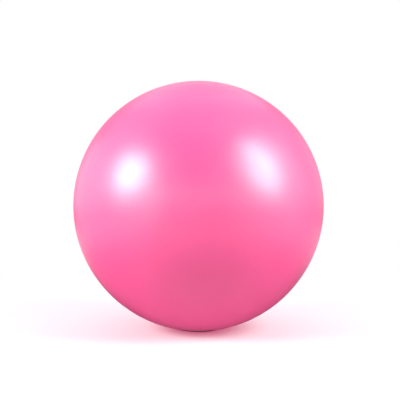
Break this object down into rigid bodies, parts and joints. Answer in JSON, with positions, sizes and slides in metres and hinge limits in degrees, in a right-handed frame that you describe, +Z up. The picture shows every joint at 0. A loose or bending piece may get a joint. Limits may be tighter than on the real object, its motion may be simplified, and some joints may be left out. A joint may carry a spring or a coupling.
{
  "type": "exercise ball",
  "caption": "Small inflatable exercise ball: a thin pearl-finish vinyl skin with a bonded valve seat and a flush push-in plug that pulls out for inflating.",
  "frame": {"origin": "centre of the ball", "axes": "+Z up from the floor the ball rests on, +Y out along the valve axis, so the valve faces backwards and -Y is the plain front"},
  "size_m": [0.2502, 0.2499, 0.2496],
  "materials": {
    "skin_vinyl": "satin",
    "valve_vinyl": "satin",
    "plug_plastic": "satin"
  },
  "bodies": {
    "ball": {"ball_skin": "skin_vinyl", "valve_seat": "valve_vinyl"},
    "plug": {"valve_plug": "plug_plastic"}
  },
  "joints": [
    {"name": "plug_pull", "type": "slide", "parent": "ball", "child": "plug", "axis": [0, 1, 0], "range_m": [0, 0.035]}
  ]
}
